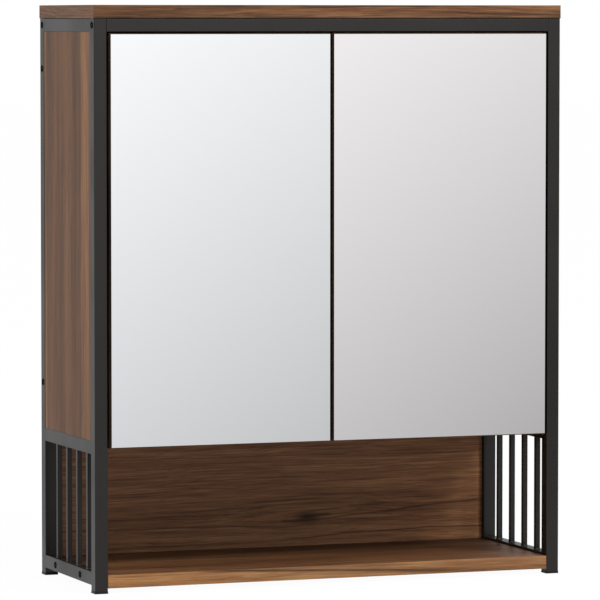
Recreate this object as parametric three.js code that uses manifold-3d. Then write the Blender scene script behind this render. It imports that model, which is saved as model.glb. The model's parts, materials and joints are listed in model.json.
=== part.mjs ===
// Wall cabinet with two mirror doors over an open shelf, in millimetres.
// +Z is up and the doors face -Y. The origin is under the middle of the cabinet, at floor height.
import * as THREE from 'three';
import { mergeVertices } from 'three/addons/utils/BufferGeometryUtils.js';
import Module from 'manifold-3d';

const wasm = await Module();
wasm.setup();

// Overall sizes
const frameWidth = 600;
const frameDepth = 216;
const height = 700;
const tube = 16; // square tube of the frames
const tubeWall = 1;
const tubeCorner = 1.2;
const board = 16; // thickness of every thick board
const thinBoard = 9;
const overhang = 0.6; // of the top board and the feet past the tubes
const glass = 3;

// Heights
const topUnderside = height - board;
const midRailTop = 182;
const bottomRailTop = 25.1;
const shelfUnderside = 6.2;
const footFlange = 3.5;
const footStem = 18;
const innerShelfUnderside = 418;

// Depths: the glass stands in front of the tubes and the top board touches the wall
const overallDepth = glass + frameDepth + overhang;
const front = glass - overallDepth / 2; // front face of the posts
const back = front + frameDepth;
const floorSetback = 2; // from the doors to the cabinet's floor
const shelfSetback = 36; // from the front of the posts to the inner shelf
const shelfGap = 2; // round the inner shelf
const panelInset = 0.5; // of the side panels in their frames

// Grille bars beside the open shelf
const barSize = 6;
const barFirst = 48; // from the front of the posts to the first bar's middle
const barPitch = 40;
const barCount = 4;

// Doors, set between the posts
const doorSideGap = 2.8;
const doorMiddleGap = 2.6;
const doorTopGap = 1.4;
const doorHang = 8.8; // the door reaches this far below the cabinet's floor, as a finger pull
const glassInset = 1; // from the edge of the board to the edge of the glass
const doorThickness = board;
const doorInnerX = doorMiddleGap / 2;
const doorOuterX = frameWidth / 2 - tube - doorSideGap;
const doorBottom = midRailTop - doorHang;
const doorTop = topUnderside - tube - doorTopGap;

// Concealed hinges, measured from the door's outer edge and from the back of the door
const hingeHeights = { upper: 585, lower: 255 };
const cupFromEdge = 22.5;
const cupRadius = 17.2;
const cupWall = 0.9;
const cupDepth = 11.5;
const cupFlange = 1.2;
const cupClearance = 0.3;
const pivotFromEdge = 28.7;
const pivotBehindDoor = 4.9;
const pivotPin = 1.5;
const linkLength = 41;
const linkHook = 8.7;
const linkHalf = 1.75;
const linkBoss = 3.2;
const linkWidth = 14;
const linkRestAngle = THREE.MathUtils.degToRad(9.5);
const earHalfWidth = 7;
const earReach = 30;
const armWidth = 20;
const armSlot = 14.8;
const armBoss = 3.6;
const armEnd = 63;
const channelHeight = 10;
const basePlate = { thickness: 2, from: 14, to: 60, halfWidth: 17 };

// Shelf pins and their rows of holes
const pinRadius = 2.5;
const pinHoleRadius = 2.8;
const pinHoleDepth = 9;
const pinCollar = { radius: 4, thickness: 1.2 };
const pinOutside = 10; // length that the shelf rests on
const pinRows = [-64, 0, 64];
const pinFromFront = [60, 172];
const fitGap = 0.3; // between pieces that one another's cuts or turned pieces meet

// Keyhole hanger plates in the back
const hangerX = 240;
const hangerZ = 628;
const hangerWidth = 20;
const hangerHeight = 50;
const hangerPlate = 1.5;
const hangerScrew = { radius: 2, step: 20 }; // step: from the plate's middle
const keyholeRound = { radius: 4.5, z: -6 };
const keyholeSlot = { radius: 2.4, z: 8 };
const screwPocket = { halfWidth: 6, depth: 9, below: 14, above: 16 };

const steel = { color: 0x343230, roughness: 0.55, metalness: 0.6 };
const walnut = { color: 0x6b4a34, roughness: 0.6, metalness: 0 };
const darkWalnut = { color: 0x3a261a, roughness: 0.6, metalness: 0 };
const mirror = { color: 0xe6eaec, roughness: 0.03, metalness: 1 };
const plastic = { color: 0x161616, roughness: 0.5, metalness: 0 };
const nickel = { color: 0xb9b9b5, roughness: 0.3, metalness: 1 };

const cabinet = new THREE.Group();

function piece(parent, name, geometry, look, x = 0, y = 0, z = 0) {
  const mesh = new THREE.Mesh(geometry, new THREE.MeshStandardMaterial(look));
  mesh.name = name;
  mesh.position.set(x, y, z);
  parent.add(mesh);
  return mesh;
}

// Solids for cutting and joining

function toSolid(geometry) {
  const bare = geometry.clone();
  bare.deleteAttribute('normal');
  bare.deleteAttribute('uv');
  const merged = mergeVertices(bare, 1e-5);
  const mesh = new wasm.Mesh({
    numProp: 3,
    vertProperties: new Float32Array(merged.attributes.position.array),
    triVerts: new Uint32Array(merged.index.array),
  });
  return new wasm.Manifold(mesh);
}

function toGeometry(solid) {
  const { vertProperties, triVerts } = solid.getMesh();
  const geometry = new THREE.BufferGeometry();
  geometry.setAttribute('position', new THREE.BufferAttribute(vertProperties, 3));
  geometry.setIndex(new THREE.BufferAttribute(triVerts, 1));
  geometry.computeVertexNormals();
  return geometry;
}

const cut = (geometry, ...tools) =>
  toGeometry(tools.reduce((solid, tool) => solid.subtract(toSolid(tool)), toSolid(geometry)));

const join = (...geometries) =>
  toGeometry(geometries.map(toSolid).reduce((solid, other) => solid.add(other)));

// Simple shapes

function block(x0, x1, y0, y1, z0, z1) {
  const geometry = new THREE.BoxGeometry(x1 - x0, y1 - y0, z1 - z0);
  return geometry.translate((x0 + x1) / 2, (y0 + y1) / 2, (z0 + z1) / 2);
}

function rod(radius, length, along, segments = 20) {
  const geometry = new THREE.CylinderGeometry(radius, radius, length, segments);
  if (along === 'x') geometry.rotateZ(Math.PI / 2);
  if (along === 'z') geometry.rotateX(Math.PI / 2);
  return geometry;
}

function plate(shape, thickness) {
  const geometry = new THREE.ExtrudeGeometry(shape, {
    depth: thickness,
    bevelEnabled: false,
    curveSegments: 12,
  });
  return geometry.translate(0, 0, -thickness / 2);
}

function roundedSquare(path, size, corner) {
  const flat = size / 2 - corner;
  path.absarc(flat, flat, corner, 0, Math.PI / 2);
  path.absarc(-flat, flat, corner, Math.PI / 2, Math.PI);
  path.absarc(-flat, -flat, corner, Math.PI, 1.5 * Math.PI);
  path.absarc(flat, -flat, corner, 1.5 * Math.PI, 2 * Math.PI);
  path.closePath();
  return path;
}

// A hollow square tube with open ends, centred on the origin
function squareTube(length, along) {
  const section = roundedSquare(new THREE.Shape(), tube, tubeCorner);
  section.holes.push(roundedSquare(new THREE.Path(), tube - 2 * tubeWall, tubeCorner - tubeWall));
  const geometry = new THREE.ExtrudeGeometry(section, {
    depth: length,
    bevelEnabled: false,
    curveSegments: 3,
  });
  geometry.translate(0, 0, -length / 2);
  if (along === 'x') geometry.rotateY(Math.PI / 2);
  if (along === 'y') geometry.rotateX(Math.PI / 2);
  return geometry;
}

// Side frames: posts, rails, grille bars and feet

function sideFrame(side) {
  const frame = new THREE.Group();
  frame.position.x = (side === 'left' ? -1 : 1) * (frameWidth - tube) / 2;
  const posts = { front_post: front + tube / 2, rear_post: back - tube / 2 };
  for (const [post, y] of Object.entries(posts)) {
    const length = topUnderside - footFlange;
    piece(frame, `${side}_${post}`, squareTube(length, 'z'), steel, 0, y, footFlange + length / 2);
    piece(frame, `${side}_${post}_foot`, foot(), plastic, 0, y, 0);
  }
  const rails = { top_rail: topUnderside, mid_rail: midRailTop, bottom_rail: bottomRailTop };
  const middle = (front + back) / 2;
  for (const [rail, top] of Object.entries(rails)) {
    const geometry = squareTube(frameDepth - 2 * tube, 'y');
    piece(frame, `${side}_${rail}`, geometry, steel, 0, middle, top - tube / 2);
  }
  const barLength = midRailTop - tube - bottomRailTop;
  for (let i = 0; i < barCount; i++) {
    const bar = new THREE.BoxGeometry(barSize, barSize, barLength);
    const y = front + barFirst + i * barPitch;
    piece(frame, `${side}_grille_bar_${i + 1}`, bar, steel, 0, y, bottomRailTop + barLength / 2);
  }
  cabinet.add(frame);
}

// A plug pushed into the end of a post, with a flange that the post stands on
function foot() {
  const half = tube / 2 + overhang;
  const stemHalf = tube / 2 - tubeWall - fitGap;
  const stemTop = footFlange + footStem;
  return join(
    block(-half, half, -half, half, 0, footFlange),
    block(-stemHalf, stemHalf, -stemHalf, stemHalf, footFlange, stemTop),
  );
}

function crossRails() {
  const length = frameWidth - 2 * tube;
  const z = topUnderside - tube / 2;
  piece(cabinet, 'front_top_rail', squareTube(length, 'x'), steel, 0, front + tube / 2, z);
  piece(cabinet, 'rear_top_rail', squareTube(length, 'x'), steel, 0, back - tube / 2, z);
}

// Boards

function boardsBetweenFrames() {
  const half = frameWidth / 2 - tube;
  const top = block(
    -frameWidth / 2 - overhang, frameWidth / 2 + overhang,
    front - overhang, back + overhang, topUnderside, height,
  );
  piece(cabinet, 'top_board', top, walnut);

  const shelfTop = shelfUnderside + board;
  piece(cabinet, 'open_shelf', block(-half, half, front, back, shelfUnderside, shelfTop), walnut);
  const lowerBack = block(-half, half, back - thinBoard, back, shelfTop, midRailTop);
  piece(cabinet, 'lower_back', lowerBack, walnut);

  const floorFront = front + doorThickness + floorSetback;
  const floor = block(-half, half, floorFront, back, midRailTop, midRailTop + board);
  piece(cabinet, 'cabinet_floor', floor, walnut);

  const upperBack = block(
    -half, half, back - board, back, midRailTop + board, topUnderside - tube,
  );
  piece(cabinet, 'upper_back', cut(upperBack, ...hangerRecesses()), walnut);

  const shelfHalf = half - shelfGap;
  const shelf = block(
    -shelfHalf, shelfHalf, front + shelfSetback, back - board - shelfGap,
    innerShelfUnderside, innerShelfUnderside + board,
  );
  piece(cabinet, 'inner_shelf', shelf, walnut);
}

// Boards inside the side frames, bored for the shelf pins

function sidePanel(side) {
  const outward = side === 'left' ? -1 : 1;
  const inner = outward * (frameWidth / 2 - tube);
  const outer = outward * (frameWidth / 2 - panelInset);
  const panel = block(
    Math.min(inner, outer), Math.max(inner, outer),
    front + tube, back - tube, midRailTop, topUnderside - tube,
  );
  const holes = [];
  for (const row of pinRows) {
    for (const depth of pinFromFront) {
      const hole = rod(pinHoleRadius, 2 * pinHoleDepth, 'x', 16);
      holes.push(hole.translate(inner, front + depth, pinHeight() + row));
    }
  }
  piece(cabinet, `${side}_side_panel`, cut(panel, ...holes), walnut);

  for (const [index, place] of ['front', 'rear'].entries()) {
    const pin = shelfPin();
    pin.rotateZ(outward * Math.PI / 2);
    const x = inner - outward * fitGap;
    const y = front + pinFromFront[index];
    piece(cabinet, `${side}_${place}_shelf_pin`, pin, nickel, x, y, pinHeight());
  }
}

function pinHeight() {
  return innerShelfUnderside - fitGap - pinRadius;
}

// A pin with a thin collar: -Y goes into the panel before it is turned
function shelfPin() {
  const inPanel = pinHoleDepth - 1;
  const { radius, thickness } = pinCollar;
  const profile = [
    [0, -pinOutside], [pinRadius, -pinOutside], [pinRadius, -thickness], [radius, -thickness],
    [radius, 0], [pinRadius, 0], [pinRadius, inPanel], [0, inPanel],
  ];
  const points = profile.map(([r, y]) => new THREE.Vector2(r, -y));
  return new THREE.LatheGeometry(points.reverse(), 16);
}

// Wall hangers: keyhole plates let into the back, with a pocket for the screw head

function hangerRecesses() {
  const recesses = [];
  for (const x of [-hangerX, hangerX]) {
    const halfWidth = hangerWidth / 2 + fitGap;
    const halfHeight = hangerHeight / 2 + fitGap;
    recesses.push(block(
      x - halfWidth, x + halfWidth, back - hangerPlate - fitGap, back + 1,
      hangerZ - halfHeight, hangerZ + halfHeight,
    ));
    recesses.push(block(
      x - screwPocket.halfWidth, x + screwPocket.halfWidth, back - screwPocket.depth, back,
      hangerZ - screwPocket.below, hangerZ + screwPocket.above,
    ));
  }
  return recesses;
}

function hangerPlates() {
  for (const [side, x] of [['left', -hangerX], ['right', hangerX]]) {
    const outline = new THREE.Shape();
    outline.moveTo(-hangerWidth / 2, -hangerHeight / 2);
    outline.lineTo(hangerWidth / 2, -hangerHeight / 2);
    outline.lineTo(hangerWidth / 2, hangerHeight / 2);
    outline.lineTo(-hangerWidth / 2, hangerHeight / 2);
    outline.closePath();
    outline.holes.push(keyhole());
    for (const z of [-hangerScrew.step, hangerScrew.step]) {
      outline.holes.push(new THREE.Path().absarc(0, z, hangerScrew.radius, 0, 2 * Math.PI));
    }
    const geometry = plate(outline, hangerPlate).rotateX(Math.PI / 2);
    const name = `${side}_wall_hanger`;
    piece(cabinet, name, geometry, nickel, x, back - hangerPlate / 2, hangerZ);
  }
}

function keyhole() {
  const meet = Math.asin(keyholeSlot.radius / keyholeRound.radius);
  const hole = new THREE.Path();
  hole.absarc(0, keyholeRound.z, keyholeRound.radius, Math.PI / 2 + meet, 2.5 * Math.PI - meet);
  hole.absarc(0, keyholeSlot.z, keyholeSlot.radius, 0, Math.PI);
  hole.closePath();
  return hole;
}

// Doors: a board bored for the hinge cups, with the mirror bonded to its face

function door(side) {
  const outward = side === 'left' ? -1 : 1;
  const group = new THREE.Group();
  group.position.set(outward * doorOuterX, front, 0); // the outer edge, at the front of the board
  const width = doorOuterX - doorInnerX;
  const across = (from, to) => [Math.min(-outward * from, -outward * to),
    Math.max(-outward * from, -outward * to)];

  const blank = block(...across(0, width), 0, doorThickness, doorBottom, doorTop);
  const pockets = Object.values(hingeHeights).map((z) => {
    const depth = cupDepth + cupClearance;
    const pocket = rod(cupRadius + cupClearance, 2 * depth, 'y', 40);
    return pocket.translate(-outward * cupFromEdge, doorThickness, z);
  });
  piece(group, `${side}_door_panel`, cut(blank, ...pockets), darkWalnut);

  const pane = block(
    ...across(glassInset, width - glassInset), -glass, 0,
    doorBottom + glassInset, doorTop - glassInset,
  );
  piece(group, `${side}_mirror`, pane, mirror);

  for (const [level, z] of Object.entries(hingeHeights)) {
    const name = `${side}_${level}_hinge`;
    piece(group, `${name}_cup`, hingeCup(), nickel, -outward * cupFromEdge, doorThickness, z);
    const pivotY = doorThickness + pivotBehindDoor;
    const link = hingeLink(-outward);
    const linkMesh = piece(group, `${name}_link`, link, nickel, -outward * pivotFromEdge, pivotY, z);
    linkMesh.rotation.z = -outward * linkRestAngle;
    const arm = hingeArm(-outward);
    piece(group, `${name}_arm`, arm, nickel, -outward * pivotFromEdge, pivotY, z);
  }
  cabinet.add(group);
}

// The cup is sunk in the door's back, its mouth towards +Y, with an ear above and below for screws
function hingeCup() {
  const inner = cupRadius - cupWall;
  const rim = cupRadius + 1.8;
  const profile = [
    [0, -cupDepth], [cupRadius, -cupDepth], [cupRadius, 0], [rim, 0], [rim, cupFlange],
    [inner, cupFlange], [inner, cupWall - cupDepth], [0, cupWall - cupDepth],
  ];
  const points = profile.map(([r, y]) => new THREE.Vector2(r, y));
  const cup = new THREE.LatheGeometry(points, 40);
  const strip = block(-earHalfWidth, earHalfWidth, 0, cupFlange, -earReach, earReach);
  const ears = cut(strip, rod(cupRadius - cupWall / 2, 4 * cupFlange, 'y', 40));
  return join(cup, ears);
}

// The link hangs on the arm's pin at the origin and isn't joined to the door. Its hook stands behind
// the door when that is closed, and only comes into the cup near the fully open end.
// inward is +1 when the cabinet's middle lies towards +X.
function hingeLink(inward) {
  const meet = Math.asin(linkHalf / linkBoss);
  const shape = new THREE.Shape();
  const fillet = 2;
  shape.moveTo(linkBoss * Math.cos(meet), -linkHalf);
  shape.lineTo(linkLength - linkHalf - fillet, -linkHalf);
  shape.quadraticCurveTo(
    linkLength - linkHalf, -linkHalf, linkLength - linkHalf, -linkHalf - fillet);
  shape.lineTo(linkLength - linkHalf, -linkHook);
  shape.absarc(linkLength, -linkHook, linkHalf, Math.PI, 2 * Math.PI);
  shape.lineTo(linkLength + linkHalf, -fillet);
  shape.quadraticCurveTo(
    linkLength + linkHalf, linkHalf, linkLength - fillet, linkHalf);
  shape.lineTo(linkBoss * Math.cos(meet), linkHalf);
  shape.absarc(0, 0, linkBoss, meet, 2 * Math.PI - meet);
  shape.holes.push(new THREE.Path().absarc(0, 0, pivotPin + fitGap, 0, 2 * Math.PI));
  return plate(mirrored(shape, inward), linkWidth);
}

// The arm: a plate on the side panel and a cranked channel that forks round the link
function hingeArm(inward) {
  const panel = -pivotFromEdge - doorSideGap; // the side panel's inner face, from the pivot
  const seat = panel + basePlate.thickness;
  const ridge = panel + channelHeight;
  const crank = new THREE.Shape();
  crank.moveTo(seat, armEnd);
  crank.lineTo(ridge, armEnd);
  crank.lineTo(ridge, armEnd / 2);
  crank.quadraticCurveTo(ridge + 2, 18, -6, 10);
  crank.quadraticCurveTo(2, 7, armBoss, 0);
  crank.absarc(0, 0, armBoss, 0, 1.15 * Math.PI, true);
  crank.quadraticCurveTo(-12, 4, ridge - 2, 8);
  crank.quadraticCurveTo(seat, 10, seat, 16);
  crank.closePath();
  const channel = plate(mirrored(crank, inward), armWidth);
  const slot = block(...inwardRange(inward, -9, 20), -12, 20, -armSlot / 2, armSlot / 2);
  const fork = toSolid(channel).subtract(toSolid(slot));
  const base = block(
    ...inwardRange(inward, panel, seat), basePlate.from, basePlate.to,
    -basePlate.halfWidth, basePlate.halfWidth,
  );
  const pin = rod(pivotPin, armWidth, 'z', 16);
  return toGeometry(fork.add(toSolid(base)).add(toSolid(pin)));
}

function inwardRange(inward, from, to) {
  return inward > 0 ? [from, to] : [-to, -from];
}

// A copy of a shape with its X turned round when inward is -1
function mirrored(shape, inward) {
  const turn = (points) => {
    const turned = points.map((p) => new THREE.Vector2(inward * p.x, p.y));
    return inward > 0 ? turned : turned.reverse();
  };
  const { shape: outline, holes } = shape.extractPoints(6);
  const copy = new THREE.Shape(turn(outline));
  copy.holes = holes.map((hole) => new THREE.Path(turn(hole)));
  return copy;
}

for (const side of ['left', 'right']) {
  sideFrame(side);
  sidePanel(side);
  door(side);
}
crossRails();
boardsBetweenFrames();
hangerPlates();

export default cabinet;
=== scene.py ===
# Looks of a bathroom wall cabinet: two mirror doors between steel side frames, over an open walnut shelf.
import json
import math

import bmesh
import bpy
from mathutils import Matrix, Vector

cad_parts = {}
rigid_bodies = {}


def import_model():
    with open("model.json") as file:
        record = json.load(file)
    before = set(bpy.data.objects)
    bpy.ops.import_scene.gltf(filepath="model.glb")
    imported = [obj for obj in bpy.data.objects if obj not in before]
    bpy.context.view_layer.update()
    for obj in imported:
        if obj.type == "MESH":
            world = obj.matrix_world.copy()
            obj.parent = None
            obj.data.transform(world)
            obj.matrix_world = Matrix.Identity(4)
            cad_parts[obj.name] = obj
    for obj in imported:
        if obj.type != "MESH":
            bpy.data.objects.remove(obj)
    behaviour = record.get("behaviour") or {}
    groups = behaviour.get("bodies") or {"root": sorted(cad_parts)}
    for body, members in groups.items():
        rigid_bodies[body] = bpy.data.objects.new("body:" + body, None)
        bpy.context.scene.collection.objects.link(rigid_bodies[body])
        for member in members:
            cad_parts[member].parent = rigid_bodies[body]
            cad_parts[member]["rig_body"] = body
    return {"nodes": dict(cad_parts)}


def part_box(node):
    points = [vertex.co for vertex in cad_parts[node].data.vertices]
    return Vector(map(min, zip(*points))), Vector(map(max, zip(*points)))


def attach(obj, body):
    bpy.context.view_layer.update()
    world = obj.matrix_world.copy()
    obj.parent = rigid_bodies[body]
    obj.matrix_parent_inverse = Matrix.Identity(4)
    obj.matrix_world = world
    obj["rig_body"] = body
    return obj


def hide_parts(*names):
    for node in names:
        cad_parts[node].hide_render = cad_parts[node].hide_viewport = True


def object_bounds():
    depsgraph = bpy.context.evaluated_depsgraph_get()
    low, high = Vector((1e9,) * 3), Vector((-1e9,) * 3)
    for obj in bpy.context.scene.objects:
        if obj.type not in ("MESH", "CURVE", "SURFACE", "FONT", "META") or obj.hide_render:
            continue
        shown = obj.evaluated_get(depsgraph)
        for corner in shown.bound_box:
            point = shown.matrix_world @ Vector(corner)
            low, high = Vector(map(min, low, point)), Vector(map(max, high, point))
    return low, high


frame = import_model()
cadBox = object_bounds()
print("frame loaded:", len(frame["nodes"]), "nodes")

mm = 0.001
touching = 0.01 * mm  # closer than this counts as the same place
sides = {"left": -1, "right": 1}


# Selecting, adding and finishing pieces

def deselectAll():
    if bpy.context.mode != "OBJECT":
        bpy.ops.object.mode_set(mode="OBJECT")
    bpy.ops.object.select_all(action="DESELECT")


def makeActive(piece):
    deselectAll()
    piece.select_set(True)
    bpy.context.view_layer.objects.active = piece


def selectIn(piece, kind, isWanted):
    # edit mode, with only the wanted faces or edges selected
    makeActive(piece)
    bpy.ops.object.mode_set(mode="EDIT")
    bpy.ops.mesh.select_mode(type=kind)
    bpy.ops.mesh.select_all(action="DESELECT")
    shape = bmesh.from_edit_mesh(piece.data)
    for element in shape.faces if kind == "FACE" else shape.edges:
        element.select_set(isWanted(element))
    bmesh.update_edit_mesh(piece.data)


def leaveEdit():
    bpy.ops.object.mode_set(mode="OBJECT")


def applyPlace(piece):
    makeActive(piece)
    bpy.ops.object.transform_apply(location=True, rotation=True, scale=True)


def addBlock(name, low, high):
    deselectAll()
    bpy.ops.mesh.primitive_cube_add(size=1, location=(Vector(low) + Vector(high)) / 2)
    piece = bpy.context.object
    piece.name = name
    piece.scale = Vector(high) - Vector(low)
    applyPlace(piece)
    return piece


def addRod(name, radius, low, high, vertices=32):
    # stands along Z from low to high
    deselectAll()
    bpy.ops.mesh.primitive_cylinder_add(
        vertices=vertices, radius=radius, depth=high - low, location=(0, 0, (low + high) / 2))
    piece = bpy.context.object
    piece.name = name
    applyPlace(piece)
    return piece


def useModifier(piece, kind, **settings):
    makeActive(piece)
    modifier = piece.modifiers.new(kind.title(), kind)
    for key, value in settings.items():
        setattr(modifier, key, value)
    bpy.ops.object.modifier_apply(modifier=modifier.name)


def roundEdges(piece, width, segments=2, angle=40):
    useModifier(piece, "BEVEL", width=width, segments=segments, limit_method="ANGLE",
                angle_limit=math.radians(angle), use_clamp_overlap=True)
    smooth(piece)


def smooth(piece, angle=35):
    # rounded edges blend into faces that stay flat
    makeActive(piece)
    bpy.ops.object.shade_smooth_by_angle(angle=math.radians(angle))
    useModifier(piece, "WEIGHTED_NORMAL", keep_sharp=True)


def cutWith(piece, *tools):
    for tool in tools:
        useModifier(piece, "BOOLEAN", operation="DIFFERENCE", object=tool, solver="EXACT")
        bpy.data.objects.remove(tool)


def isAlong(edge, axis):
    a, b = (vertex.co for vertex in edge.verts)
    return abs((b - a)[axis]) > 0.99 * (b - a).length


def copyOf(source, name, place=Matrix.Identity(4)):
    piece = source.copy()
    piece.data = source.data.copy()
    piece.name = name
    bpy.context.scene.collection.objects.link(piece)
    piece.data.transform(place)
    return piece


def removePattern(pattern):
    bpy.data.objects.remove(pattern)


def paint(piece, *materials):
    piece.data.materials.clear()
    for material in materials:
        piece.data.materials.append(material)


def standFor(piece, node, slot, *materials):
    # the piece is seen in place of a CAD node, and moves with its body
    paint(piece, *materials)
    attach(piece, frame["nodes"][node]["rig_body"])
    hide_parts(node)
    return piece


def addTo(piece, node, slot, *materials):
    # an extra piece that moves with a CAD node's body and takes no node's place
    paint(piece, *materials)
    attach(piece, frame["nodes"][node]["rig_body"])
    return piece


def meshFromNode(node, name):
    # a copy of a CAD node, with its loose triangles merged into whole faces
    source = frame["nodes"][node]
    piece = bpy.data.objects.new(name, source.data.copy())
    bpy.context.scene.collection.objects.link(piece)
    makeActive(piece)
    bpy.ops.object.mode_set(mode="EDIT")
    bpy.ops.mesh.select_all(action="SELECT")
    bpy.ops.mesh.remove_doubles(threshold=touching)
    bpy.ops.mesh.dissolve_limited(angle_limit=math.radians(1))
    bpy.ops.mesh.normals_make_consistent(inside=False)
    leaveEdit()
    return piece


# Camera, floor and light

studio = {
    "cameraPlace": (-1.93681, -5.21840, 0.68353),
    "cameraDown": 3.5493,  # degrees below the horizon
    "cameraYaw": 20.3560,  # degrees towards +X
    "lens": 272.0,
    "worldLight": 0.78,
    "worldLeft": 0.2,  # how much brighter the room is on the left
    "worldTurn": (0.2, -0.9),  # the directions' X where that starts and is full
    "floorSize": 60,
    "floorShade": 0.9,
    "floorGlow": 0.965,  # how pale the floor is in full shade
    "floorShadow": 0.035,  # what the light adds to that
    "floorDrop": 0.2 * mm,  # below the feet
    "floorNear": 0.8,  # brightness in reflections, close to the cabinet
    "floorNearY": -0.2,
    "cardDistance": 1.0,  # from the mirrors to the card that they reflect
    "cardSize": (10, 6, 1),
    "cardHeight": 3,
    "cardRange": (0.3, 1.02),  # darkest and palest
    "cardShade": 0.655,
    "cardAcross": -0.352,  # brightness lost per metre to the right
    "cardUp": 0.540,  # brightness gained per metre upwards
    "keyAim": (0.1, 0.0, 0.1),
    "keyAside": 35,  # degrees to the right of straight ahead
    "keyUp": 38.7,
    "keyDistance": 5.0,
    "keySize": (1.44, 1.44),
    "keyPower": 135,
}


def addCamera():
    camera = bpy.data.cameras.new("camera")
    camera.lens = studio["lens"]
    camera.sensor_width = 36
    camera.clip_start = 0.05
    camera.clip_end = 100
    holder = bpy.data.objects.new("camera", camera)
    holder.location = studio["cameraPlace"]
    holder.rotation_euler = (
        math.radians(90 - studio["cameraDown"]), 0, -math.radians(studio["cameraYaw"]))
    bpy.context.scene.collection.objects.link(holder)
    bpy.context.scene.camera = holder


def addKeyLight():
    # a soft light from the front right, high enough to leave the back of the open shelf in shade
    aside, up = math.radians(studio["keyAside"]), math.radians(studio["keyUp"])
    away = Vector((math.sin(aside) * math.cos(up), -math.cos(aside) * math.cos(up), math.sin(up)))
    light = bpy.data.lights.new("key_light", "AREA")
    light.shape = "RECTANGLE"
    light.size, light.size_y = studio["keySize"]
    light.energy = studio["keyPower"]
    holder = bpy.data.objects.new("key_light", light)
    holder.location = Vector(studio["keyAim"]) + studio["keyDistance"] * away
    holder.rotation_euler = (-away).to_track_quat("-Z", "Y").to_euler()
    bpy.context.scene.collection.objects.link(holder)


def connect(tree, value, socket):
    if isinstance(value, bpy.types.NodeSocket):
        tree.links.new(value, socket)
    else:
        socket.default_value = value


def addNode(tree, kind, sockets=None, **settings):
    node = tree.nodes.new("ShaderNode" + kind)
    for key, value in settings.items():
        setattr(node, key, value)
    for key, value in (sockets or {}).items():
        connect(tree, value, node.inputs[key])
    return node


def maths(tree, operation, *values):
    node = addNode(tree, "Math", operation=operation)
    for index, value in enumerate(values):
        connect(tree, value, node.inputs[index])
    return node.outputs[0]


def vectorMaths(tree, operation, *values):
    node = addNode(tree, "VectorMath", operation=operation)
    for index, value in enumerate(values):
        connect(tree, value, node.inputs[index])
    return node.outputs[0]


def mapRange(tree, value, fromLow, fromHigh, toLow=0.0, toHigh=1.0, kind="SMOOTHSTEP"):
    node = addNode(tree, "MapRange", interpolation_type=kind)
    for index, number in enumerate((value, fromLow, fromHigh, toLow, toHigh)):
        connect(tree, number, node.inputs[index])
    return node.outputs[0]


def mixColours(tree, share, first, second, blend="MIX"):
    node = addNode(tree, "Mix", data_type="RGBA", blend_type=blend)
    for index, value in ((0, share), (6, first), (7, second)):
        connect(tree, value, node.inputs[index])
    return node.outputs[2]


def emptyMaterial(name):
    material = bpy.data.materials.new(name)
    material.use_nodes = True
    material.node_tree.nodes.clear()
    return material


def cardShade(tree, across, up):
    # the card is palest at its top left
    shade = maths(tree, "MULTIPLY_ADD", across, studio["cardAcross"], studio["cardShade"])
    shade = maths(tree, "MULTIPLY_ADD", up, studio["cardUp"], shade)
    darkest, palest = studio["cardRange"]
    return maths(tree, "MINIMUM", maths(tree, "MAXIMUM", shade, darkest), palest)


def addCard():
    # a softly graded card in front of the doors, seen only by glossy surfaces
    deselectAll()
    place = (0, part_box("left_mirror")[0].y - studio["cardDistance"], studio["cardHeight"])
    bpy.ops.mesh.primitive_plane_add(size=1, location=place)
    card = bpy.context.object
    card.name = "studio_card"
    card.scale = studio["cardSize"]
    card.rotation_euler = (math.radians(90), 0, 0)
    applyPlace(card)
    material = emptyMaterial("studioCard")
    tree = material.node_tree
    place = addNode(tree, "SeparateXYZ", {0: addNode(tree, "TexCoord").outputs["Object"]}).outputs
    glow = addNode(tree, "Emission", {"Strength": cardShade(tree, place["X"], place["Z"])})
    addNode(tree, "OutputMaterial", {"Surface": glow.outputs[0]})
    paint(card, material)
    card.visible_camera = False
    card.visible_diffuse = False
    card.visible_shadow = False
    card.visible_transmission = False


def addFloor():
    deselectAll()
    place = (0, 0, cadBox[0].z - studio["floorDrop"])
    bpy.ops.mesh.primitive_plane_add(size=studio["floorSize"], location=place)
    floor = bpy.context.object
    floor.name = "studio_floor"
    applyPlace(floor)
    material = emptyMaterial("studioFloor")
    tree = material.node_tree
    shade = studio["floorShade"]
    path = addNode(tree, "LightPath").outputs
    bouncing = addNode(tree, "BsdfDiffuse", {"Color": (shade, shade, shade, 1)})
    thin = studio["floorShadow"]
    shadowed = addNode(tree, "BsdfDiffuse", {"Color": (thin, thin, thin, 1)})
    glow = addNode(tree, "Emission", {"Strength": studio["floorGlow"]})
    seen = addNode(tree, "AddShader", {0: shadowed.outputs[0], 1: glow.outputs[0]})
    lit = addNode(tree, "MixShader", {0: path["Is Camera Ray"], 1: bouncing.outputs[0],
                                      2: seen.outputs[0]})
    # in reflections the floor blends into the foot of the card
    place = addNode(tree, "SeparateXYZ", {0: addNode(tree, "TexCoord").outputs["Object"]}).outputs
    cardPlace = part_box("left_mirror")[0].y - studio["cardDistance"]
    foot = cardShade(tree, place["X"], 0.0)
    fall = mapRange(tree, place["Y"], cardPlace, studio["floorNearY"], foot, studio["floorNear"])
    mirrored = addNode(tree, "Emission", {"Strength": fall})
    both = addNode(tree, "MixShader", {0: path["Is Glossy Ray"], 1: lit.outputs[0],
                                       2: mirrored.outputs[0]})
    addNode(tree, "OutputMaterial", {"Surface": both.outputs[0]})
    paint(floor, material)


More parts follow.
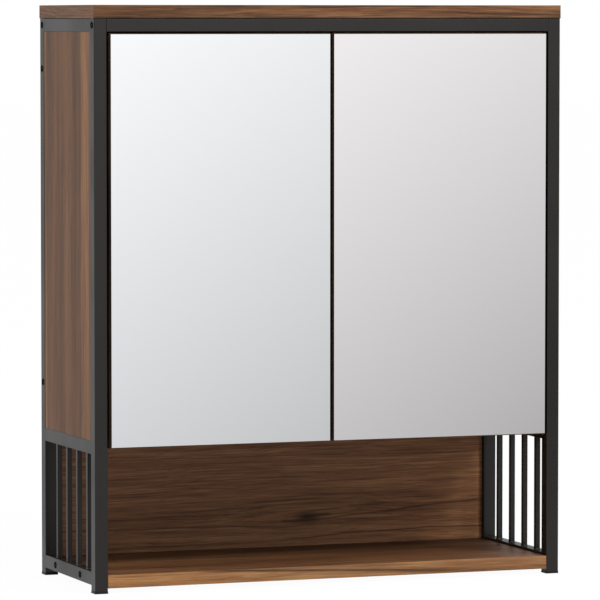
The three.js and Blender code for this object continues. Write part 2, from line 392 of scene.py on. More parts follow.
def addWorld():
    world = bpy.data.worlds.new("studio")
    bpy.context.scene.world = world
    world.use_nodes = True
    tree = world.node_tree
    tree.nodes.clear()
    isSeen = addNode(tree, "LightPath").outputs["Is Camera Ray"]
    toward = addNode(tree, "SeparateXYZ", {0: addNode(tree, "TexCoord").outputs["Generated"]}).outputs
    dimmest = studio["worldLight"]
    room = mapRange(tree, toward["X"], *studio["worldTurn"], dimmest, dimmest + studio["worldLeft"])
    strength = mapRange(tree, isSeen, 0.0, 1.0, room, 1.0, "LINEAR")
    light = addNode(tree, "Background", {"Color": (1, 1, 1, 1), "Strength": strength})
    addNode(tree, "OutputWorld", {"Surface": light.outputs[0]})


addCamera()
addWorld()
addFloor()
addCard()
addKeyLight()
bpy.context.scene.view_settings.view_transform = "Standard"
print("studio ready")


# Finishes

def newGroup(name, inputs, outputs):
    group = bpy.data.node_groups.new(name, "ShaderNodeTree")
    for direction, sockets in (("INPUT", inputs), ("OUTPUT", outputs)):
        for label, kind in sockets.items():
            group.interface.new_socket(name=label, in_out=direction, socket_type="NodeSocket" + kind)
    return group, group.nodes.new("NodeGroupInput").outputs, group.nodes.new("NodeGroupOutput").inputs


def useGroup(tree, group, sockets):
    node = tree.nodes.new("ShaderNodeGroup")
    node.node_tree = group
    for key, value in sockets.items():
        connect(tree, value, node.inputs[key])
    return node.outputs


def noise(tree, vector, scale, detail=2.0, roughness=0.5):
    stretched = vectorMaths(tree, "MULTIPLY", vector, scale)
    node = addNode(tree, "TexNoise", {"Vector": stretched, "Scale": 1.0, "Detail": detail,
                                      "Roughness": roughness})
    return node.outputs[0]


def makeGrain():
    # walnut along X: broad bands, growth lines with one sharp edge, fine streaks and short pores
    group, given, out = newGroup(
        "walnutGrain",
        {"Place": "Vector", "Seed": "Float", "Shift": "Float", "Dark": "Color", "Middle": "Color",
         "Light": "Color", "Bands": "Float", "Lines": "Float", "Line Pitch": "Float", "Pores": "Float"},
        {"Color": "Color", "Roughness": "Float", "Height": "Float"})
    seedStep = vectorMaths(group, "MULTIPLY", (1.7, 0.43, 0.91), given["Seed"])
    seeded = vectorMaths(group, "ADD", given["Place"], seedStep)
    sway = noise(group, seeded, (2.1, 7.0, 7.0), 2.0)
    ripple = noise(group, seeded, (14.0, 42.0, 42.0), 1.0)
    sway = maths(group, "MULTIPLY_ADD", maths(group, "SUBTRACT", sway, 0.5), 0.022, given["Shift"])
    sway = maths(group, "MULTIPLY_ADD", maths(group, "SUBTRACT", ripple, 0.5), 0.0016, sway)
    swayed = addNode(group, "CombineXYZ", {1: sway, 2: sway}).outputs[0]
    place = vectorMaths(group, "ADD", seeded, swayed)

    broad = noise(group, place, (1.5, 26.0, 26.0), 2.0)
    middling = noise(group, place, (4.0, 150.0, 150.0), 3.0, 0.8)
    fine = noise(group, place, (13.0, 620.0, 620.0), 3.0, 0.7)
    parts = addNode(group, "SeparateXYZ", {0: place}).outputs
    across = maths(group, "ADD", parts["Y"], parts["Z"])
    ring = maths(group, "DIVIDE", across, given["Line Pitch"])
    ring = maths(group, "MULTIPLY_ADD", middling, 1.1, ring)
    ring = maths(group, "FRACT", ring)
    ringEdge = maths(group, "POWER", ring, 7.0)
    ringShare = mapRange(group, noise(group, place, (2.4, 48.0, 48.0), 1.0), 0.42, 0.68)
    ringMask = maths(group, "MULTIPLY", maths(group, "MULTIPLY", ringEdge, ringShare), given["Lines"])

    pore = noise(group, place, (38.0, 1500.0, 1500.0), 1.0)
    poreMask = maths(group, "MULTIPLY", mapRange(group, pore, 0.6, 0.74), given["Pores"])

    tone = maths(group, "MULTIPLY", maths(group, "SUBTRACT", broad, 0.5), given["Bands"])
    tone = maths(group, "MULTIPLY_ADD", maths(group, "SUBTRACT", middling, 0.5), 1.3, tone)
    tone = maths(group, "MULTIPLY_ADD", maths(group, "SUBTRACT", fine, 0.5), 1.3, tone)
    tone = maths(group, "ADD", tone, 0.5)
    low = mapRange(group, tone, 0.1, 0.5, kind="LINEAR")
    high = mapRange(group, tone, 0.5, 0.9, kind="LINEAR")
    colour = mixColours(group, low, given["Dark"], given["Middle"])
    colour = mixColours(group, high, colour, given["Light"])
    colour = mixColours(group, ringMask, colour, given["Dark"])
    colour = mixColours(group, poreMask, colour, given["Dark"])
    connect(group, colour, out["Color"])
    rough = maths(group, "MULTIPLY_ADD", fine, 0.12, 0.42)
    connect(group, maths(group, "MULTIPLY_ADD", poreMask, 0.2, rough), out["Roughness"])
    dip = maths(group, "SUBTRACT", maths(group, "MULTIPLY", fine, 0.5), poreMask)
    connect(group, dip, out["Height"])
    return group


def makeBand():
    # a soft stripe across the boards: pale sapwood on the side panels, painted light and shade on the top
    # board, open shelf, lower back, shelf edge and door rims
    group, given, out = newGroup(
        "stripe", {"Across": "Float", "Middle": "Float", "Half Width": "Float", "Softness": "Float"},
        {"Mask": "Float"})
    offset = maths(group, "ABSOLUTE", maths(group, "SUBTRACT", given["Across"], given["Middle"]))
    outer = maths(group, "ADD", given["Half Width"], given["Softness"])
    connect(group, mapRange(group, offset, given["Half Width"], outer, 1.0, 0.0), out["Mask"])
    return group


def makeVein():
    # a long dark line that runs with the grain, from Start for Length, and dies away at its ends
    group, given, out = newGroup(
        "vein", {"Along": "Float", "Across": "Float", "Start": "Float", "Length": "Float",
                 "Height": "Float", "Slope": "Float", "Bend": "Float", "Half Width": "Float",
                 "Sway": "Float"}, {"Mask": "Float"})
    run = maths(group, "SUBTRACT", given["Along"], given["Start"])
    line = maths(group, "MULTIPLY_ADD", given["Slope"], run, given["Height"])
    line = maths(group, "MULTIPLY_ADD", given["Bend"], maths(group, "MULTIPLY", run, run), line)
    line = maths(group, "ADD", line, given["Sway"])
    off = maths(group, "DIVIDE", maths(group, "SUBTRACT", given["Across"], line), given["Half Width"])
    square = maths(group, "MULTIPLY", off, off)
    thread = maths(group, "POWER", math.e, maths(group, "MULTIPLY", square, -1.0))
    share = maths(group, "DIVIDE", run, given["Length"])
    grown = mapRange(group, share, 0.0, 0.12)
    fade = maths(group, "MULTIPLY", grown, mapRange(group, share, 0.75, 1.0, 1.0, 0.0))
    connect(group, maths(group, "MULTIPLY", thread, fade), out["Mask"])
    return group


def makeOrangePeel():
    # the fine uneven skin of powder coat
    group, given, out = newGroup(
        "orangePeel", {"Place": "Vector", "Lump": "Float"},
        {"Height": "Float", "Speckle": "Float", "Cloud": "Float"})
    scaled = vectorMaths(group, "MULTIPLY", given["Place"], given["Lump"])
    lumps = noise(group, scaled, (1, 1, 1), 2.0)
    grit = noise(group, scaled, (3.1, 3.1, 3.1), 1.0)
    connect(group, maths(group, "MULTIPLY_ADD", grit, 0.35, lumps), out["Height"])
    connect(group, mapRange(group, grit, 0.35, 0.65), out["Speckle"])
    connect(group, noise(group, given["Place"], (9, 9, 9), 2.0), out["Cloud"])
    return group


grainGroup = makeGrain()
bandGroup = makeBand()
veinGroup = makeVein()
peelGroup = makeOrangePeel()


def finishMaterial(tree, sockets, **fixed):
    shader = addNode(tree, "BsdfPrincipled", sockets)
    for label, value in fixed.items():
        shader.inputs[label.replace("_", " ")].default_value = value
    addNode(tree, "OutputMaterial", {"Surface": shader.outputs[0]})
    return shader


def powderCoat(name, dark, light, roughness, lump=900.0, bump=0.05, gloss=0.385):
    material = emptyMaterial(name)
    tree = material.node_tree
    place = addNode(tree, "TexCoord").outputs["Object"]
    peel = useGroup(tree, peelGroup, {"Place": place, "Lump": lump})
    colour = mixColours(tree, peel["Speckle"], dark, light)
    rough = mapRange(tree, peel["Cloud"], 0.3, 0.7, roughness - 0.05, roughness + 0.05)
    normal = addNode(tree, "Bump", {"Strength": bump, "Distance": 0.2 * mm, "Height": peel["Height"]})
    finishMaterial(tree, {"Base Color": colour, "Roughness": rough, "Normal": normal.outputs[0]},
                   IOR=1.5, Specular_IOR_Level=gloss)
    return material


# Each board: where its grain runs, its colours, and what is particular about it
deepWalnut = {"dark": (0.034, 0.013, 0.006), "middle": (0.132, 0.056, 0.022),
              "light": (0.250, 0.120, 0.052)}
walnut = {
    "bump": 0.08,
    "gloss": 0.2,
    "top": {**deepWalnut, "grain": "X", "seed": 1.0, "bands": 1.2, "lines": 0.6, "pitch": 13 * mm,
            "pores": 0.5},
    "topEnd": {"dark": (0.030, 0.011, 0.004), "middle": (0.118, 0.048, 0.017),
               "light": (0.225, 0.105, 0.043), "grain": "Y", "seed": 4.2, "bands": 0.8,
               "lines": 0.4, "pitch": 9 * mm, "pores": 0.4},
    "shelf": {**deepWalnut, "grain": "X", "seed": 2.3, "bands": 1.2, "lines": 0.6, "pitch": 16 * mm,
              "pores": 0.5},
    "shelfFront": {"dark": (0.120, 0.052, 0.020), "middle": (0.255, 0.122, 0.048),
                   "light": (0.360, 0.190, 0.085), "grain": "X", "seed": 6.1, "bands": 0.8,
                   "lines": 0.6, "pitch": 8 * mm, "pores": 0.4},
    "back": {"dark": (0.070, 0.029, 0.013), "middle": (0.165, 0.074, 0.033),
             "light": (0.270, 0.132, 0.062), "grain": "X", "seed": 3.1, "bands": 0.9,
             "lines": 0.5, "pitch": 12 * mm, "pores": 0.6},
    "inside": {**deepWalnut, "grain": "X", "seed": 5.7, "bands": 1.1, "lines": 0.6, "pitch": 14 * mm,
               "pores": 0.5},
    "side": {"dark": (0.075, 0.029, 0.010), "middle": (0.138, 0.056, 0.020),
             "light": (0.210, 0.095, 0.038), "grain": "Z", "seed": 7.9, "bands": 1.5,
             "lines": 0.4, "pitch": 24 * mm, "pores": 0.35},
    "door": {"dark": (0.026, 0.011, 0.006), "middle": (0.080, 0.035, 0.016),
             "light": (0.140, 0.068, 0.032), "grain": "Z", "seed": 9.4, "bands": 1.1,
             "lines": 0.4, "pitch": 15 * mm, "pores": 0.5},
}
# painted shade: the front rim of the door boards round the mirror is a much darker copy of the door walnut
walnut["rim"] = {**walnut["door"], "dark": (0.008, 0.004, 0.002), "middle": (0.022, 0.010, 0.005),
                 "light": (0.040, 0.019, 0.009)}
# which object axes run along, across and through the grain
grainAxes = {"X": "XYZ", "Y": "YZX", "Z": "ZYX"}


def walnutBoard(name, look, seedStep=0.0, shift=None, stripes=(), darken=None):
    # stripes: (axis, middle, half width, softness, what the colour is multiplied by), in metres
    material = emptyMaterial(name)
    tree = material.node_tree
    place = addNode(tree, "TexCoord").outputs["Object"]
    parts = addNode(tree, "SeparateXYZ", {0: place}).outputs
    turned = {index: parts[axis] for index, axis in enumerate(grainAxes[look["grain"]])}
    place = addNode(tree, "CombineXYZ", turned).outputs[0]
    colours = {key.title(): (*look[key], 1) for key in ("dark", "middle", "light")}
    grain = useGroup(tree, grainGroup, {
        "Place": place, "Seed": look["seed"] + seedStep, "Shift": shift(tree, parts) if shift else 0.0,
        **colours, "Bands": look["bands"], "Lines": look["lines"], "Line Pitch": look["pitch"],
        "Pores": look["pores"]})
    shown = grain["Color"]
    for axis, middle, halfWidth, softness, tint in stripes:
        mask = useGroup(tree, bandGroup, {"Across": parts[axis], "Middle": middle,
                                          "Half Width": halfWidth, "Softness": softness})["Mask"]
        shown = mixColours(tree, mask, shown, mixColours(tree, 1.0, shown, (*tint, 1), "MULTIPLY"))
    if darken:
        shown = darken(tree, parts, shown)
    normal = addNode(tree, "Bump", {"Strength": walnut["bump"], "Distance": 0.15 * mm,
                                    "Height": grain["Height"]})
    finishMaterial(tree, {"Base Color": shown, "Roughness": grain["Roughness"],
                          "Normal": normal.outputs[0]}, IOR=1.45, Specular_IOR_Level=walnut["gloss"])
    return material


knot = {"x": 0.046, "z": 0.0575, "reach": (0.085, 0.016), "shift": 0.011,
        "core": (0.016, 0.0062), "coreFall": 0.7, "coreStrength": 0.9}
veinColour = (0.024, 0.010, 0.005)
# long dark lines: start, length, height, slope, bend, half width, strength
backVeins = [
    (0.008, 0.060, 0.0535, 0.02, 0.0, 1.4 * mm, 0.70),
    (0.038, 0.045, 0.0590, 0.05, 0.0, 2.0 * mm, 0.75),
    (0.030, 0.130, 0.0640, 0.07, 0.0, 1.3 * mm, 0.40),
    (-0.34, 0.40, 0.0535, -0.016, 0.0, 0.9 * mm, 0.65),
    (0.00, 0.36, 0.0290, 0.080, -0.16, 0.9 * mm, 0.70),
    (0.04, 0.33, 0.0525, 0.085, 0.0, 1.1 * mm, 0.60),
    (-0.34, 0.40, 0.0625, 0.008, 0.0, 0.7 * mm, 0.35),
    (-0.34, 0.80, 0.1050, 0.014, 0.0, 0.8 * mm, 0.30),
    (-0.20, 0.60, 0.1380, -0.010, 0.02, 0.8 * mm, 0.30),
]
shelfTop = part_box("open_shelf")[1].z
frontVeins = [
    (-0.24, 0.47, shelfTop + 3.5 * mm, -0.040, 0.0, 1.5 * mm, 0.70),
    (-0.18, 0.30, shelfTop + 3.5 * mm, -0.025, 0.0, 4.0 * mm, 0.32),
    (-0.30, 0.30, shelfTop - 3.5 * mm, 0.006, 0.0, 0.6 * mm, 0.35),
    (0.02, 0.26, shelfTop - 2.0 * mm, -0.012, 0.0, 0.7 * mm, 0.35),
]


def knotHump(tree, parts, reach, steepness):
    # 1 at the middle of the knot, falling away around it; also the height above that middle
    across = maths(tree, "DIVIDE", maths(tree, "SUBTRACT", parts["X"], knot["x"]), reach[0])
    above = maths(tree, "DIVIDE", maths(tree, "SUBTRACT", parts["Z"], knot["z"]), reach[1])
    squares = maths(tree, "MULTIPLY_ADD", across, across, maths(tree, "MULTIPLY", above, above))
    return maths(tree, "POWER", math.e, maths(tree, "MULTIPLY", squares, -steepness)), above


def knotShift(tree, parts):
    # the grain runs round the knot
    fall, above = knotHump(tree, parts, knot["reach"], 1.0)
    return maths(tree, "MULTIPLY", maths(tree, "MULTIPLY", above, fall), -knot["shift"])


def drawVeins(tree, parts, shown, veins, wandering):
    place = addNode(tree, "TexCoord").outputs["Object"]
    sway = maths(tree, "SUBTRACT", noise(tree, place, (16, 4, 4), 3.0), 0.5)
    sway = maths(tree, "MULTIPLY", sway, wandering)
    for start, length, height, slope, bend, halfWidth, strength in veins:
        mask = useGroup(tree, veinGroup, {
            "Along": parts["X"], "Across": parts["Z"], "Start": start, "Length": length, "Height": height,
            "Slope": slope, "Bend": bend, "Half Width": halfWidth, "Sway": sway})["Mask"]
        shown = mixColours(tree, maths(tree, "MULTIPLY", mask, strength), shown, (*veinColour, 1))
    return shown


def shelfVeins(tree, parts, shown):
    return drawVeins(tree, parts, shown, frontVeins, 2 * mm)


def knotDark(tree, parts, shown):
    core, above = knotHump(tree, parts, knot["core"], knot["coreFall"])
    core = maths(tree, "MULTIPLY", core, knot["coreStrength"])
    shown = mixColours(tree, core, shown, (*veinColour, 1))
    return drawVeins(tree, parts, shown, backVeins, 7 * mm)


def silvered(name, tint):
    material = emptyMaterial(name)
    tree = material.node_tree
    place = addNode(tree, "TexCoord").outputs["Object"]
    haze = noise(tree, place, (7, 7, 7), 3.0)
    rough = mapRange(tree, haze, 0.35, 0.75, 0.0, 0.012)
    wave = noise(tree, place, (3, 3, 3), 1.0)
    colour = mixColours(tree, wave, (*[0.995 * c for c in tint], 1), (*tint, 1))
    finishMaterial(tree, {"Base Color": colour, "Roughness": rough}, Metallic=1.0)
    return material


def groundGlass():
    material = emptyMaterial("groundGlassEdge")
    tree = material.node_tree
    place = addNode(tree, "TexCoord").outputs["Object"]
    grind = noise(tree, place, (900, 900, 900), 2.0)
    colour = mixColours(tree, grind, (0.010, 0.013, 0.012, 1), (0.022, 0.030, 0.028, 1))
    rough = mapRange(tree, grind, 0.3, 0.7, 0.18, 0.34)
    finishMaterial(tree, {"Base Color": colour, "Roughness": rough}, IOR=1.52, Specular_IOR_Level=0.3)
    return material


def platedSteel(name, dark, light, roughness):
    material = emptyMaterial(name)
    tree = material.node_tree
    place = addNode(tree, "TexCoord").outputs["Object"]
    scratch = noise(tree, place, (2200, 2200, 260), 2.0)
    cloud = noise(tree, place, (60, 60, 60), 2.0)
    colour = mixColours(tree, cloud, dark, light)
    rough = mapRange(tree, scratch, 0.3, 0.7, roughness - 0.06, roughness + 0.08)
    normal = addNode(tree, "Bump", {"Strength": 0.06, "Distance": 0.05 * mm, "Height": scratch})
    finishMaterial(tree, {"Base Color": colour, "Roughness": rough, "Normal": normal.outputs[0]},
                   Metallic=1.0)
    return material


coat = powderCoat("charcoalPowderCoat", (0.0055, 0.0042, 0.0030, 1), (0.0090, 0.0072, 0.0055, 1), 0.40)
footPlastic = powderCoat("blackFootPlastic", (0.003, 0.003, 0.003, 1), (0.006, 0.006, 0.006, 1), 0.5,
                         1600.0, 0.08, 0.2)
boltBlack = powderCoat("blackOxideBolt", (0.002, 0.002, 0.002, 1), (0.004, 0.004, 0.004, 1), 0.7,
                       2500.0, 0.04, 0.03)
nickel = platedSteel("nickelPlate", (0.56, 0.56, 0.55, 1), (0.70, 0.70, 0.68, 1), 0.26)
zinc = platedSteel("zincPlate", (0.48, 0.49, 0.51, 1), (0.62, 0.63, 0.65, 1), 0.34)
glassEdge = groundGlass()
sidePanelLow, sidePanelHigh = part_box("left_side_panel")
shelfLow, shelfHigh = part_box("open_shelf")
sideStripes = [
    ("Y", sidePanelLow.y + 22.5 * mm, 14 * mm, 2 * mm, (1.48, 1.62, 1.70)),
    ("Y", sidePanelHigh.y - 3 * mm, 4 * mm, 2 * mm, (1.7, 1.9, 2.0)),
]
boards = {
    "top_board": walnutBoard("walnutTop", walnut["top"], stripes=[
        # painted shade: the top board darkens towards its left end
        ("X", shelfLow.x, 40 * mm, 260 * mm, (0.66, 0.64, 0.62)),
        # painted shadow: a dark line along the lowest 0.9 mm, where the board overhangs the rails
        ("Z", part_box("top_board")[0].z, 0.9 * mm, 0.3 * mm, (0.12, 0.12, 0.12))]),
    "open_shelf": walnutBoard("walnutShelf", walnut["shelf"], stripes=[
        # painted light and shade: the shelf top is paler towards its front edge and darker towards the
        # rear, in the shade of the cabinet above
        ("Y", shelfLow.y, 4 * mm, 90 * mm, (1.55, 1.62, 1.75)),
        ("Y", shelfHigh.y, 26 * mm, 110 * mm, (0.56, 0.60, 0.64))]),
    "lower_back": walnutBoard(
        "walnutLowerBack", walnut["back"], shift=knotShift, darken=knotDark, stripes=[
            # painted light: the lower back is paler towards its right end, where the key light falls
            ("X", shelfHigh.x, 30 * mm, 260 * mm, (1.22, 1.20, 1.15))]),
    "cabinet_floor": walnutBoard("walnutFloor", walnut["inside"], 0.4),
    "upper_back": walnutBoard("walnutUpperBack", walnut["inside"], 1.3),
    "inner_shelf": walnutBoard("walnutInnerShelf", walnut["inside"], 2.2),
    "left_side_panel": walnutBoard("walnutLeftSide", walnut["side"], stripes=sideStripes),
    "right_side_panel": walnutBoard("walnutRightSide", walnut["side"], 1.6, stripes=sideStripes),
    "left_door_panel": walnutBoard("walnutLeftDoor", walnut["door"]),
    "right_door_panel": walnutBoard("walnutRightDoor", walnut["door"], 1.1),
}
# edge bands, on the faces that point along an axis: (axis, direction or 0 for both, finish)
bands = {
    "top_board": ("x", 0, walnutBoard("walnutTopEnd", walnut["topEnd"])),
    "open_shelf": ("y", -1, walnutBoard(
        "walnutShelfFront", walnut["shelfFront"], darken=shelfVeins, stripes=[
            # painted light and shade: the shelf's front edge is paler towards its left end and darker
            # towards its right
            ("X", shelfLow.x, 0, 300 * mm, (1.16, 1.12, 1.04)),
            ("X", shelfHigh.x, 0, 300 * mm, (0.84, 0.80, 0.78))])),
}
# painted light: the lowest 2 mm of the shaded door rim is 4 to 5 times paler, lit below the mirror
shadedDoorRim = walnutBoard("walnutDoorRimShade", walnut["rim"], stripes=[
    ("Z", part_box("left_door_panel")[0].z, 2 * mm, 1 * mm, (5.0, 4.6, 4.2))])
print("finishes ready")


# Steel frames

tubes = {"wall": 1 * mm, "corner": 1.0 * mm, "cornerSegments": 4}
grille = {"edge": 0.25 * mm, "weldHeight": 0.9 * mm, "weldSpread": 1.24}
weld = {"reach": 1.5 * mm, "overRail": 0.7 * mm, "proud": 0.03 * mm}


def placeFromBox(node):
    low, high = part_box(node)
    return Matrix.Translation((low + high) / 2)


def squareTube(node):
    # a hollow tube, centred on the origin, as long and wide as the node
    low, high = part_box(node)
    half = (high - low) / 2
    axis = max(range(3), key=lambda i: half[i])
    piece = addBlock("tube", -half, half)
    selectIn(piece, "FACE", lambda face: abs(face.normal[axis]) > 0.9)
    bpy.ops.mesh.inset(thickness=tubes["wall"], use_individual=True)
    bpy.ops.mesh.bridge_edge_loops()
    others = [i for i in range(3) if i != axis]

    def isOuter(vertex):
        return all(abs(abs(vertex.co[i]) - half[i]) < touching for i in others)

    selectIn(piece, "EDGE", lambda edge: isAlong(edge, axis) and all(map(isOuter, edge.verts)))
    bpy.ops.mesh.bevel(offset=tubes["corner"], segments=tubes["cornerSegments"], affect="EDGES")
    leaveEdit()
    smooth(piece)
    return piece


def makeTubes():
    families = {
        "left_front_post": [f"{side}_{place}_post" for side in sides for place in ("front", "rear")],
        "left_top_rail": [f"{side}_{rail}_rail" for side in sides for rail in ("top", "mid", "bottom")],
        "front_top_rail": ["front_top_rail", "rear_top_rail"],
    }
    for first, nodes in families.items():
        pattern = squareTube(first)
        for node in nodes:
            piece = copyOf(pattern, node + "_tube", placeFromBox(node))
            standFor(piece, node, "frame_steel", coat)
        removePattern(pattern)


def makeWelds():
    # ground flush, where each side rail meets a post
    low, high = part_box("left_top_rail")
    half = (high - low) / 2
    proud = Vector((weld["proud"], 0, 0))
    depth = weld["reach"] + weld["overRail"]
    pattern = addBlock("weld", -Vector((half.x, depth / 2, half.z)) - proud,
                       Vector((half.x, depth / 2, half.z)) + proud)
    selectIn(pattern, "EDGE", lambda edge: isAlong(edge, 1))
    bpy.ops.mesh.bevel(offset=tubes["corner"], segments=tubes["cornerSegments"], affect="EDGES")
    leaveEdit()
    smooth(pattern)
    for side in sides:
        for rail in ("top", "mid", "bottom"):
            low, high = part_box(f"{side}_{rail}_rail")
            middle = (low + high) / 2
            ends = {"front": low.y - weld["reach"] + depth / 2, "rear": high.y + weld["reach"] - depth / 2}
            for place, y in ends.items():
                shift = Matrix.Translation((middle.x, y, middle.z))
                piece = copyOf(pattern, f"{side}_{rail}_{place}_weld", shift)
                addTo(piece, f"{side}_{rail}_rail", "frame_steel", coat)
    removePattern(pattern)


def makeGrilleBars():
    low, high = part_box("left_grille_bar_1")
    half = (high - low) / 2
    pattern = addBlock("bar", -half, half)
    selectIn(pattern, "EDGE", lambda edge: isAlong(edge, 2))
    bpy.ops.mesh.bevel(offset=grille["edge"], segments=2, affect="EDGES")
    for end in (-1, 1):
        selectIn(pattern, "FACE", lambda face: True)
        bpy.ops.mesh.bisect(plane_co=(0, 0, end * (half.z - grille["weldHeight"])), plane_no=(0, 0, 1))
    selectIn(pattern, "FACE", lambda face: abs(face.normal.z) > 0.9)
    bpy.ops.transform.resize(value=(grille["weldSpread"], grille["weldSpread"], 1))
    leaveEdit()
    smooth(pattern)
    for side in sides:
        for number in range(1, 5):
            node = f"{side}_grille_bar_{number}"
            standFor(copyOf(pattern, node + "_rod", placeFromBox(node)), node, "frame_steel", coat)
    removePattern(pattern)


foot = {"flange": 3.5 * mm, "topShrink": 0.945, "corner": 1.6 * mm, "edge": 0.4 * mm,
        "stemInset": 1.15 * mm, "ribs": (6 * mm, 11 * mm), "ribSpread": 1.04}


def makeFeet():
    node = "left_front_post_foot"
    low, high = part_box(node)
    half = (high - low) / 2
    pattern = addBlock("foot", (-half.x, -half.y, 0), (half.x, half.y, foot["flange"]))
    selectIn(pattern, "FACE", lambda face: face.normal.z > 0.9)
    bpy.ops.transform.resize(value=(foot["topShrink"], foot["topShrink"], 1))
    selectIn(pattern, "EDGE", lambda edge: abs(edge.verts[0].co.z - edge.verts[1].co.z) > mm)
    bpy.ops.mesh.bevel(offset=foot["corner"], segments=4, affect="EDGES")
    selectIn(pattern, "FACE", lambda face: face.normal.z > 0.9)
    bpy.ops.mesh.inset(thickness=foot["stemInset"])
    bpy.ops.mesh.extrude_region_move(TRANSFORM_OT_translate={"value": (0, 0, high.z - foot["flange"])})
    leaveEdit()
    roundEdges(pattern, foot["edge"], 2)
    for side in sides:
        for place in ("front", "rear"):
            node = f"{side}_{place}_post_foot"
            low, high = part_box(node)
            shift = Matrix.Translation(((low.x + high.x) / 2, (low.y + high.y) / 2, low.z))
            standFor(copyOf(pattern, node + "_plug", shift), node, "foot_plastic", footPlastic)
    removePattern(pattern)


bolt = {"radius": 4.1 * mm, "proud": 0.55 * mm, "sunk": 1.5 * mm, "edge": 0.35 * mm,
        "socketRadius": 2.0 * mm, "socketDepth": 1.3 * mm,
        "belowBackTop": 45.4 * mm, "overBackFoot": 40 * mm,
        "fromShelfFront": 0.28, "fromShelfRear": 0.26}  # the last two as shares of its depth


def middleOf(node):
    low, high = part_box(node)
    return (low + high) / 2


def boltPlaces():
    # (depth, height) of the bolts in one side frame, from the pieces that they hold
    backLow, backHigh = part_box("upper_back")
    backY = middleOf("upper_back").y
    railZ = middleOf("left_bottom_rail").z
    span = shelfHigh.y - shelfLow.y
    return [
        (middleOf("front_top_rail").y, middleOf("front_top_rail").z),
        (middleOf("rear_top_rail").y, middleOf("rear_top_rail").z),
        (backY, backHigh.z - bolt["belowBackTop"]),
        (backY, backLow.z + bolt["overBackFoot"]),
        (shelfLow.y + bolt["fromShelfFront"] * span, railZ),
        (shelfHigh.y - bolt["fromShelfRear"] * span, railZ),
    ]


def makeBolts():
    # socket bolts through the side frames, their heads hardly proud of the tubes
    pattern = addRod("bolt", bolt["radius"], -bolt["sunk"], bolt["proud"], 32)
    socket = addRod("socket", bolt["socketRadius"], bolt["proud"] - bolt["socketDepth"], mm, 6)
    cutWith(pattern, socket)
    roundEdges(pattern, bolt["edge"], 2, 50)
    for side, outward in sides.items():
        low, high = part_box(f"{side}_front_post")
        face = high.x if outward > 0 else low.x
        turn = Matrix.Rotation(outward * math.radians(90), 4, "Y")
        for number, (y, z) in enumerate(boltPlaces(), 1):
            place = Matrix.Translation((face, y, z)) @ turn
            piece = copyOf(pattern, f"{side}_frame_bolt_{number}", place)
            addTo(piece, f"{side}_front_post", "frame_steel", boltBlack)
    removePattern(pattern)


makeTubes()
makeWelds()
makeGrilleBars()
makeFeet()
makeBolts()
print("steel frames ready")


# Boards

boardEdges = {"top_board": 0.5 * mm, "open_shelf": 0.5 * mm, "lower_back": 0.3 * mm,
              "cabinet_floor": 0.5 * mm, "inner_shelf": 0.6 * mm, "upper_back": 0.3 * mm,
              "left_side_panel": 0.3 * mm, "right_side_panel": 0.3 * mm}


def makeBoards():
    for node, edge in boardEdges.items():
        if node in ("upper_back", "left_side_panel", "right_side_panel"):
            piece = meshFromNode(node, node + "_panel")  # bored or recessed
        else:
            piece = addBlock(node + "_panel", *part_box(node))
        roundEdges(piece, edge)
        if node in bands:
            axis, direction, bandFinish = bands[node]
            standFor(piece, node, "walnut_board", boards[node], bandFinish)
            for face in piece.data.polygons:
                facing = getattr(face.normal, axis)
                isBand = abs(facing) > 0.7 and facing * direction >= 0
                face.material_index = 1 if isBand else 0
        else:
            standFor(piece, node, "walnut_board", boards[node])


makeBoards()
print("boards ready")


# Doors

doorBoardEdge = 0.4 * mm
# painted reflection: the left mirror is tinted cooler and the right warmer, in place of differently
# coloured reflections
pane = {"arris": 0.3 * mm, "leftTint": (0.955, 0.965, 0.985), "rightTint": (0.985, 0.963, 0.973)}


def makeDoors():
    for side in sides:
        node = f"{side}_door_panel"
        panel = meshFromNode(node, node + "_board")
        roundEdges(panel, doorBoardEdge)
        standFor(panel, node, "door_board", boards[node], shadedDoorRim)
        for face in panel.data.polygons:
            face.material_index = 1 if face.normal.y < -0.7 else 0

        node = f"{side}_mirror"
        low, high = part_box(node)
        glass = addBlock(node + "_pane", low, high)

        def isAtFront(vertex):
            return abs(vertex.co.y - low.y) < touching

        selectIn(glass, "EDGE", lambda edge: all(map(isAtFront, edge.verts)))
        bpy.ops.mesh.bevel(offset=pane["arris"], segments=1, affect="EDGES")
        leaveEdit()
        standFor(glass, node, "mirror_glass", silvered(f"{side}Silver", pane[side + "Tint"]), glassEdge)
        for face in glass.data.polygons:
            face.material_index = 0 if abs(face.normal.y) > 0.99 else 1


makeDoors()
print("doors ready")


# Hinges, shelf pins and wall hangers

screw = {"radius": 3.0 * mm, "height": 1.3 * mm, "crossLength": 3.4 * mm, "crossWidth": 0.8 * mm,
         "crossDepth": 0.9 * mm, "sunk": 0.5 * mm, "taper": 0.72, "edge": 0.15 * mm}
hinge = {"cupScrew": 24 * mm, "plateScrew": 13.6 * mm, "plateThickness": 2 * mm,
         "armLength": 63 * mm,  # from the arm's pin to its rear end
         "plateScrewDepths": (24 * mm, 50 * mm),  # behind the pin
         "edge": 0.2 * mm}
hanger = {"screw": 20 * mm, "screwProud": 0.45 * mm, "edge": 0.2 * mm}
shelfPinEdge = 0.3 * mm


def makeScrewPattern():
    # a pan head with a cross recess, its seat at Z 0
    pattern = addRod("screw", screw["radius"], -screw["sunk"], screw["height"], 32)
    selectIn(pattern, "FACE", lambda face: face.normal.z > 0.9)
    bpy.ops.transform.resize(value=(screw["taper"], screw["taper"], 1))
    leaveEdit()
    half = screw["crossLength"] / 2
    thin = screw["crossWidth"] / 2
    floor = screw["height"] - screw["crossDepth"]
    cutWith(pattern, addBlock("slotX", (-half, -thin, floor), (half, thin, 3 * mm)),
            addBlock("slotY", (-thin, -half, floor), (thin, half, 3 * mm)))
    roundEdges(pattern, screw["edge"], 2)
    return pattern


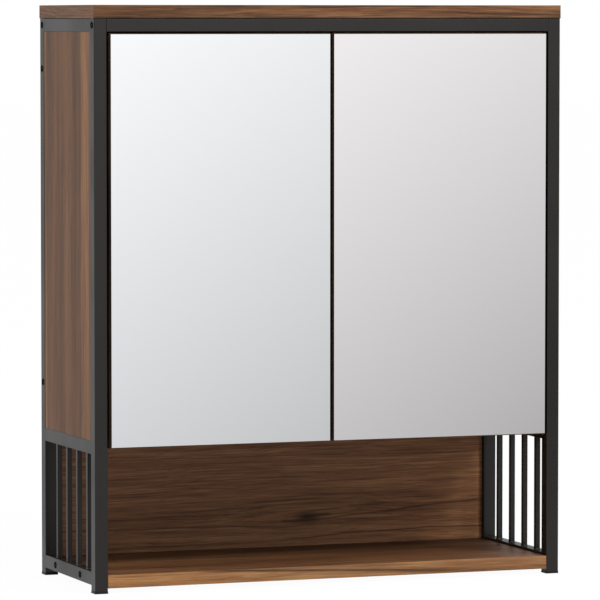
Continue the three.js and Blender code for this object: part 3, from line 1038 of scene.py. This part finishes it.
def makeHardware():
    screwPattern = makeScrewPattern()
    backward = Matrix.Rotation(math.radians(-90), 4, "X")  # a screw that faces +Y
    for side, outward in sides.items():
        for level in ("upper", "lower"):
            name = f"{side}_{level}_hinge"
            for part, metal in (("cup", nickel), ("link", zinc), ("arm", nickel)):
                piece = meshFromNode(f"{name}_{part}", f"{name}_{part}_finished")
                roundEdges(piece, hinge["edge"], 2, 45)
                standFor(piece, f"{name}_{part}", "plated_steel", metal)
            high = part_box(f"{name}_cup")[1]
            middle = middleOf(f"{name}_cup")
            for end, step in (("top", hinge["cupScrew"]), ("bottom", -hinge["cupScrew"])):
                place = Matrix.Translation((middle.x, high.y, middle.z + step)) @ backward
                piece = copyOf(screwPattern, f"{name}_cup_{end}_screw", place)
                addTo(piece, f"{name}_cup", "plated_steel", zinc)
            inward = Matrix.Rotation(-outward * math.radians(90), 4, "Y")
            low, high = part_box(f"{name}_arm")
            seat = (high.x if outward > 0 else low.x) - outward * hinge["plateThickness"]
            for end, step in (("top", hinge["plateScrew"]), ("bottom", -hinge["plateScrew"])):
                for number, depth in enumerate(hinge["plateScrewDepths"], 1):
                    spot = (seat, high.y - hinge["armLength"] + depth, middle.z + step)
                    place = Matrix.Translation(spot) @ inward
                    piece = copyOf(screwPattern, f"{name}_plate_{end}_screw_{number}", place)
                    addTo(piece, f"{name}_arm", "plated_steel", zinc)
        for place in ("front", "rear"):
            node = f"{side}_{place}_shelf_pin"
            piece = meshFromNode(node, node + "_finished")
            roundEdges(piece, shelfPinEdge, 2, 45)
            standFor(piece, node, "plated_steel", nickel)
        node = f"{side}_wall_hanger"
        piece = meshFromNode(node, node + "_plate")
        roundEdges(piece, hanger["edge"], 2)
        standFor(piece, node, "plated_steel", zinc)
        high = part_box(node)[1]
        middle = middleOf(node)
        for end, step in (("top", hanger["screw"]), ("bottom", -hanger["screw"])):
            seat = high.y + hanger["screwProud"] - screw["height"]
            place = Matrix.Translation((middle.x, seat, middle.z + step)) @ backward
            piece = copyOf(screwPattern, f"{side}_hanger_{end}_screw", place)
            addTo(piece, node, "plated_steel", zinc)
    removePattern(screwPattern)


makeHardware()
print("hardware ready")
